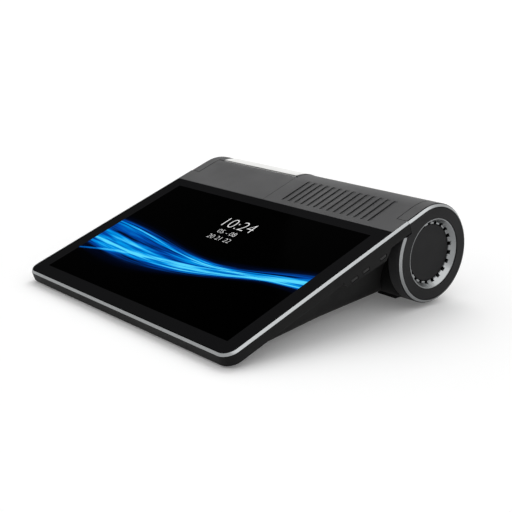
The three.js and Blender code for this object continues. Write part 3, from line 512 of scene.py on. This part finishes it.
# Slab trim
# A bevelled strip of satin silver, moulded and plated, that runs round three sides of the glass. It is an
# open frame, so its flat faces stay as they come.
trim_silver = metal("trim_silver", tone(146, 148, 149), roughness=0.3)
trim = merged_copy("slab_trim", whole_faces=False)
soften(trim, 0.2 * MM)
finished(trim, "slab_trim_strip", trim_silver, "case", "silver_trim", "slab_trim", sharp=50)

# Drum shell
# The lower half of the drum in black plastic, with the lid's hinge ears at its rear and the steel pin that
# they hold. Its black is darker than the tray's: painted shade for the deep shade under the drum and the
# slab.
# A near-black, darker than the tray's: painted shade under the drum.
shell_black_painted_shade = moulded("shell_black_painted_shade", tone(10), tone(12), roughness=0.6, shine=0.08)
remade("drum_shell", "drum_moulding", shell_black_painted_shade, "case", "case_plastic", radius=0.25, segments=2, sharp=30)
remade("lid_hinge_pin", "hinge_pin_ground", bright_steel, "case", "steel", radius=0.3)

# Printer frame, head and drive
# A glass-filled frame with the paper cradle, the thermal head on its leaf springs, the tear bar, the motor
# with its brass pinion, and the two white gears that pass its turn on to the platen.
frame_black = moulded("frame_black", tone(34), tone(38), roughness=0.55)
gear_white = moulded("gear_white", tone(214, 211, 200), tone(222, 219, 208), roughness=0.45)
head_plate = moulded("head_plate", tone(58, 72, 66), tone(66, 80, 74), roughness=0.35)
brass = metal("brass", tone(196, 164, 92), roughness=0.3)
platen_rubber = moulded("platen_rubber", tone(38), tone(44), roughness=0.8)
DRIVE = (
    ("printer_frame", frame_black, "case", "base_plastic", 0.25),
    ("print_head", head_plate, "case", "head_plate", 0.25),
    ("head_spring_1", bright_steel, "case", "steel", 0.1),
    ("head_spring_2", bright_steel, "case", "steel", 0.1),
    ("tear_bar", bright_steel, "case", "steel", 0.12),
    ("print_motor", bright_steel, "case", "steel", 0.6),
    ("motor_pinion", brass, "pinion", "brass", 0.08),
    ("idler_gear", gear_white, "idler", "gear_plastic", 0.1),
    ("platen_gear", gear_white, "platen", "gear_plastic", 0.1),
    ("platen_roller", platen_rubber, "platen", "foot_rubber", 0.3),
    ("platen_shaft", bright_steel, "platen", "steel", 0.3),
    ("roll_core", gear_white, "roll", "gear_plastic", 0.3),
)
for node, material, body, slot, radius in DRIVE:
    remade(node, f"{node}_made", material, body, slot, radius=radius, segments=2, sharp=30)

# Paper
# A roll of thermal paper on its core, the web that runs up past the head, and the blank slip that comes out
# of the slot and lies back over the lid. The slip's free end keeps the small teeth of the tear bar.
PAPER_WHITE = tone(243, 243, 241)
PAPER_SHADED = tone(237, 237, 235)
PAPER_GRAIN = 2400.0
WOUND_LAYERS = 320.0
roll_middle = centre_of("paper_roll")


def paper_finish(name, rings=False):
    """Thermal paper, laid flat or wound in layers that show as rings on the roll's ends."""
    material, tree, shader = new_finish(name, {"Roughness": 0.85, "Specular IOR Level": 0.3})
    if rings:
        place = added(tree, "TexCoord")
        centred = added(tree, "Mapping")
        centred.inputs["Location"].default_value = -roll_middle
        layers = added(tree, "TexWave", wave_type="RINGS", rings_direction="X")
        layers.inputs["Scale"].default_value = WOUND_LAYERS
        layers.inputs["Distortion"].default_value = 1.5
        tree.links.new(place.outputs["Object"], centred.inputs["Vector"])
        tree.links.new(centred.outputs["Vector"], layers.inputs["Vector"])
        share, height, depth = layers.outputs["Fac"], layers.outputs["Fac"], 0.1
    else:
        grain = grained(tree, PAPER_GRAIN)
        share, height, depth = grain["Rub"], grain["Grain"], 0.01
    tree.links.new(blended(tree, share, PAPER_WHITE, PAPER_SHADED), shader.inputs["Base Color"])
    embossed(tree, shader, height, 0.4, depth)
    return material


paper = paper_finish("thermal_paper")
rolled_paper = paper_finish("rolled_paper", rings=True)
remade("paper_roll", "paper_roll_wound", rolled_paper, "roll", "paper", radius=0.3, segments=2, sharp=30)
web = merged_copy("paper_web")
finished(web, "paper_web_run", paper, "case", "paper", "paper_web", sharp=50)

ring_low, ring_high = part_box("end_ring_right")
drum_axis = Vector((0, (ring_low.y + ring_high.y) / 2, (ring_low.z + ring_high.z) / 2))
DRUM_RADIUS = 32.1 * MM
SLIP_LIFT = 0.35 * MM
SLIP_THICKNESS = 0.12 * MM
SLIP_START = radians(98.5)
SLIP_END = radians(63)
SLIP_STEPS = 18
SAME_TURN = radians(0.2)
TEETH = 40
TOOTH_DEPTH = radians(0.9)
slip_left, slip_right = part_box("receipt_slip")[0].x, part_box("receipt_slip")[1].x


def around_drum(radius, angle, x=0.0):
    """The point at a radius and an angle round the drum's axis."""
    return drum_axis + Vector((x, radius * cos(angle), radius * sin(angle)))


slip = bmesh.new()
corners = [around_drum(DRUM_RADIUS + SLIP_LIFT, SLIP_START, x) for x in (slip_left, slip_right)]
slip.edges.new([slip.verts.new(corner) for corner in corners])
bmesh.ops.subdivide_edges(slip, edges=slip.edges, cuts=2 * TEETH - 1)
bmesh.ops.spin(
    slip, geom=slip.verts[:] + slip.edges[:], cent=drum_axis, axis=(1, 0, 0),
    angle=SLIP_END - SLIP_START, steps=SLIP_STEPS, use_merge=False, use_duplicate=False,
)
half_tooth = (slip_right - slip_left) / (2 * TEETH)
tooth_turn = Matrix.Rotation(TOOTH_DEPTH, 3, "X")
for point in slip.verts:
    turned = atan2(point.co.z - drum_axis.z, point.co.y - drum_axis.y)
    if turned < SLIP_END + SAME_TURN and round((point.co.x - slip_left) / half_tooth) % 2:
        bmesh.ops.rotate(slip, verts=[point], cent=drum_axis, matrix=tooth_turn)
bmesh.ops.recalc_face_normals(slip, faces=slip.faces)
slip_piece = finished(slip, "receipt_slip_sheet", paper, "lid", "paper", "receipt_slip", sharp=60)
wall = slip_piece.modifiers.new("paper_thickness", "SOLIDIFY")
wall.thickness = SLIP_THICKNESS
wall.offset = 0

# Drum covers
# Two grey textured covers over the front of the drum: a plain one before the paper slot and one with a
# grille. The printer's lid closes the rest of the left half and turns on the pin at the rear.
cover_grey = moulded("cover_grey", tone(55, 55, 56), tone(58, 58, 59), roughness=0.55)
for node, body in (("left_cover", "case"), ("vent_cover", "case"), ("printer_lid", "lid")):
    remade(node, f"{node}_moulding", cover_grey, body, "cover_plastic", radius=0.3, segments=2, sharp=30)

# Drum ends
# Each end has a dark face cap with a rim in the covers' grey, a bevelled silver strip round it, a silver
# funnel with notches round its foot, and a plain disc that hides a small speaker. Where the cap meets the
# slab's arm, its edge moves up to the arm and stays sharp, so that the seam hardly shows.
cap_grey = moulded("cap_grey", tone(34, 34, 35), tone(37, 37, 38), roughness=0.5, shine=0.12)
ring_silver = metal("ring_silver", tone(138, 140, 141), roughness=0.3)
cone_black = moulded("cone_black", tone(18), tone(24), roughness=0.8)
JOINT_GAP = 0.3 * MM
GAP_CLOSED = 0.9
SLAB_DEPTH = 9 * MM
RIM_DEPTH = 1 * MM
RIM_SIDEWAYS = 0.3
END_PIECES = (
    ("end_trim", "strip", trim_silver, "silver_trim", 0.15, 2, 50),
    ("end_ring", "funnel", ring_silver, "silver_trim", 0.12, 2, 50),
    ("speaker_disc", "plate", cap_grey, "cap_plastic", 0.35, 3, 35),
    ("speaker", "driver", cone_black, "steel", 0.5, 3, 35),
)


def on_rim(face):
    """Whether a face of the cap looks outwards from the drum's axis and lies near its full radius."""
    spoke = face.calc_center_median() - drum_axis
    return abs(face.normal.x) < RIM_SIDEWAYS and Vector((spoke.y, spoke.z)).length > DRUM_RADIUS - RIM_DEPTH


for side in ("left", "right"):
    cap = merged_copy(f"end_cap_{side}")
    joint = set()
    for point in cap.verts:
        place = on_slab.inverted() @ point.co
        if abs(place.y - ARM_END - JOINT_GAP) < AT_JOINT and place.z > -SLAB_DEPTH:
            point.co = on_slab @ (place - Vector((0, GAP_CLOSED * JOINT_GAP, 0)))
            joint.add(point)
    soften(cap, 0.25 * MM, segments=2, chosen=lambda edge: not joint.issuperset(edge.verts))
    rim = cap.copy()
    rim_faces = {face.index for face in cap.faces if on_rim(face)}
    for shape, keep in ((cap, False), (rim, True)):
        shape.faces.ensure_lookup_table()
        unwanted = [face for face in shape.faces if (face.index in rim_faces) != keep]
        bmesh.ops.delete(shape, geom=unwanted, context="FACES")
    finished(rim, f"end_cap_{side}_rim", cover_grey, "case", "cover_plastic", sharp=30)
    finished(cap, f"end_cap_{side}_moulding", cap_grey, "case", "cap_plastic", f"end_cap_{side}", sharp=30)
    for piece, made_as, material, slot, radius, segments, sharper_than in END_PIECES:
        node = f"{piece}_{side}"
        remade(
            node, f"{node}_{made_as}", material, "case", slot,
            radius=radius, segments=segments, sharper_than=sharper_than, sharp=30,
        )

# Card reader, sockets and antenna
# The chip card slot in the left side with its reader, the two sockets in the rear with the plated shells
# that show in the cover, and the etched loop of the contactless reader under the plain cover.
reader_black = moulded("reader_black", tone(28), tone(32), roughness=0.5)
SMALL_PARTS = (
    ("card_slot_bezel", base_black_painted_shade, "base_plastic", 0.5),
    ("card_reader", reader_black, "reader_plastic", 0.4),
    ("power_inlet", bright_steel, "steel", 0.12),
    ("data_socket", bright_steel, "steel", 0.12),
    ("contactless_antenna", brass, "brass", 0.1),
)
for node, material, slot, radius in SMALL_PARTS:
    remade(node, f"{node}_made", material, "case", slot, radius=radius, segments=2, sharp=30)

# Stage
# A pale floor that goes white away from the object and keeps its shadow, a plain world, a broad sun from
# the left and rear, and a second sun that only shiny faces reflect.
FLOOR_REACH = 40.0
FLOOR_LIFT = 0.1
FLOOR_BOUNCE = (0.4, 0.4, 0.4, 1)
FLOOR_SEEN = (0.96, 0.96, 0.96, 1)
WHITE = (1, 1, 1, 1)
floor_mesh = bmesh.new()
bmesh.ops.create_grid(floor_mesh, x_segments=1, y_segments=1, size=FLOOR_REACH)
floor_data = bpy.data.meshes.new("floor")
floor_mesh.to_mesh(floor_data)
floor_mesh.free()
floor = bpy.data.objects.new("floor", floor_data)
bpy.context.scene.collection.objects.link(floor)


def beyond_diffuse(tree):
    """One for a camera, mirror or glass ray, and nought for the light that falls on the object."""
    ray = added(tree, "LightPath").outputs
    seen = reckon(tree, "MAXIMUM", ray["Is Camera Ray"], ray["Is Glossy Ray"])
    return reckon(tree, "MAXIMUM", seen, ray["Is Transmission Ray"])


floor_white, floor_tree, floor_shader = new_finish(
    "floor_white", {"Roughness": 0.9, "Specular IOR Level": 0.1, "Emission Color": WHITE}
)
seen = beyond_diffuse(floor_tree)
floor_colour = blended(floor_tree, seen, FLOOR_BOUNCE, FLOOR_SEEN)
floor_glow = reckon(floor_tree, "MULTIPLY", seen, FLOOR_LIFT)
floor_tree.links.new(floor_colour, floor_shader.inputs["Base Color"])
floor_tree.links.new(floor_glow, floor_shader.inputs["Emission Strength"])
floor_data.materials.append(floor_white)

world = bpy.data.worlds.new("studio")
bpy.context.scene.world = world
world.use_nodes = True
world_tree = world.node_tree
soft_light = world_tree.nodes["Background"]
white_view = added(world_tree, "Background")
for background, strength in ((soft_light, 0.7), (white_view, 1.0)):
    background.inputs["Color"].default_value = WHITE
    background.inputs["Strength"].default_value = strength
by_ray = added(world_tree, "MixShader")
world_tree.links.new(beyond_diffuse(world_tree), by_ray.inputs["Fac"])
world_tree.links.new(soft_light.outputs["Background"], by_ray.inputs[1])
world_tree.links.new(white_view.outputs["Background"], by_ray.inputs[2])
world_tree.links.new(by_ray.outputs["Shader"], world_tree.nodes["World Output"].inputs["Surface"])

SUNS = (
    ("broad_sun", Vector((-0.35, 0.5, 0.8)), 50, 1.0, True),
    ("metal_shine", Vector((0.3, 0.0, 0.95)), 80, 1.6, False),
)
for name, source, breadth, energy, lights_dull_faces in SUNS:
    light = bpy.data.lights.new(name, "SUN")
    light.angle = radians(breadth)
    light.energy = energy
    sun = bpy.data.objects.new(name, light)
    sun.rotation_euler = (-source).to_track_quat("-Z", "Y").to_euler()
    sun.visible_diffuse = lights_dull_faces
    bpy.context.scene.collection.objects.link(sun)

# Camera
# The photograph's view: from the right of the front, a little above the table, with a long lens. Its place
# and angles were fitted to the slab's edges and the drum's end.
AZIMUTH = radians(49.107)
ELEVATION = radians(15.975)
CAMERA_FROM_DRUM = Vector((491.91, -480.06, 171.48)) * MM
camera_data = bpy.data.cameras.new("camera")
camera_data.sensor_width = 36.0
camera_data.lens = 70.2
camera_data.clip_start = 0.01
camera = bpy.data.objects.new("camera", camera_data)
camera.location = drum_axis + CAMERA_FROM_DRUM
camera.rotation_euler = (pi / 2 - ELEVATION, 0, AZIMUTH)
bpy.context.scene.collection.objects.link(camera)
bpy.context.scene.camera = camera
bpy.context.scene.view_settings.view_transform = "Standard"
